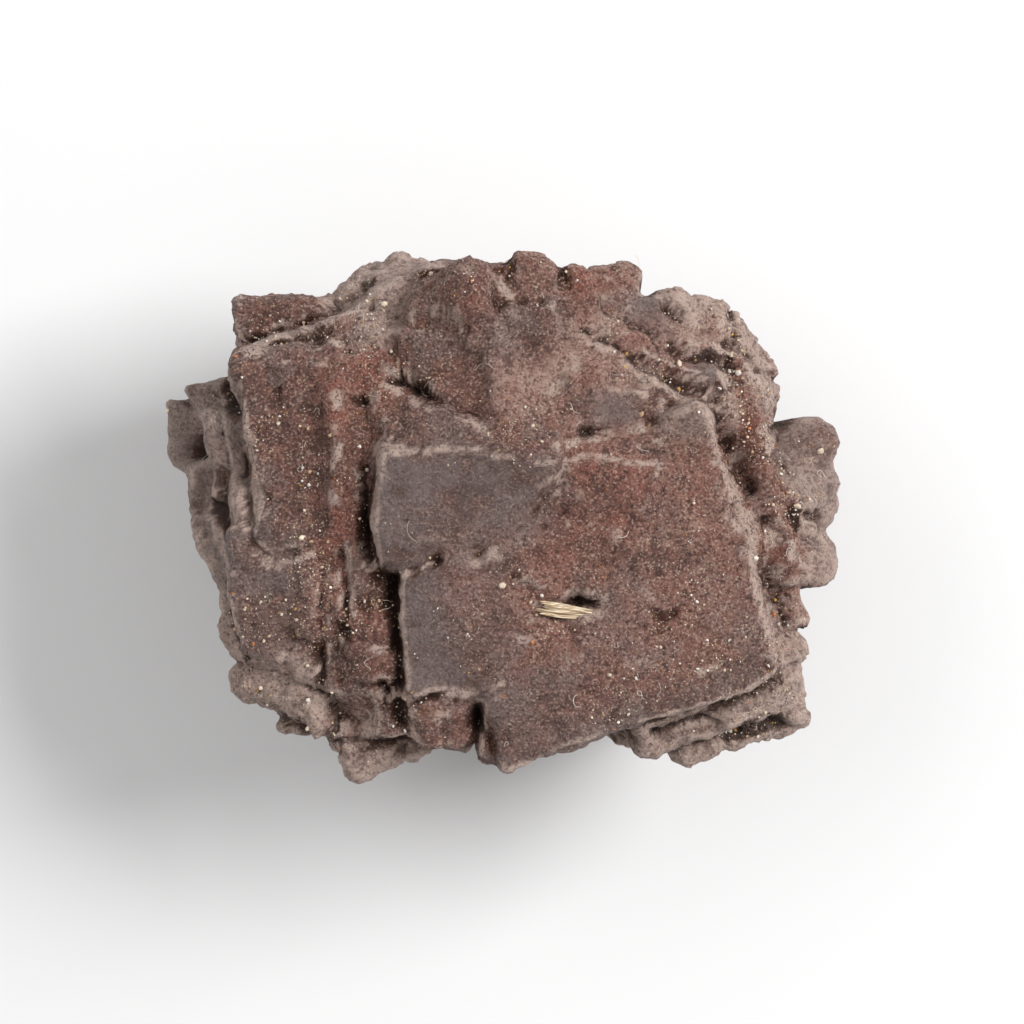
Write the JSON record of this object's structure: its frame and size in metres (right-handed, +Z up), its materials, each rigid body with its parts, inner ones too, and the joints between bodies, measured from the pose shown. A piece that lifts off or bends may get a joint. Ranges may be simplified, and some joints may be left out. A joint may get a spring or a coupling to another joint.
{
  "type": "prophecy stone",
  "caption": "Small prophecy stone: a dark brown iron oxide nodule of intergrown cube-shaped crystals with stepped blocks and crevices, resting on a small flat spot.",
  "frame": {"origin": "centre of the flat spot that the stone rests on, at z = 0", "axes": "+Z up through the broad crystal plate on top, +X the longest way across the stone, +Y toward the weathered knobby edge"},
  "size_m": [0.046, 0.0363, 0.0295],
  "materials": {
    "iron_oxide": "weathered dark brown iron oxide, satin on the crystal faces and rough in the crevices, with desert sand and dust"
  },
  "bodies": {
    "root": {"stone": "iron_oxide"}
  },
  "joints": []
}
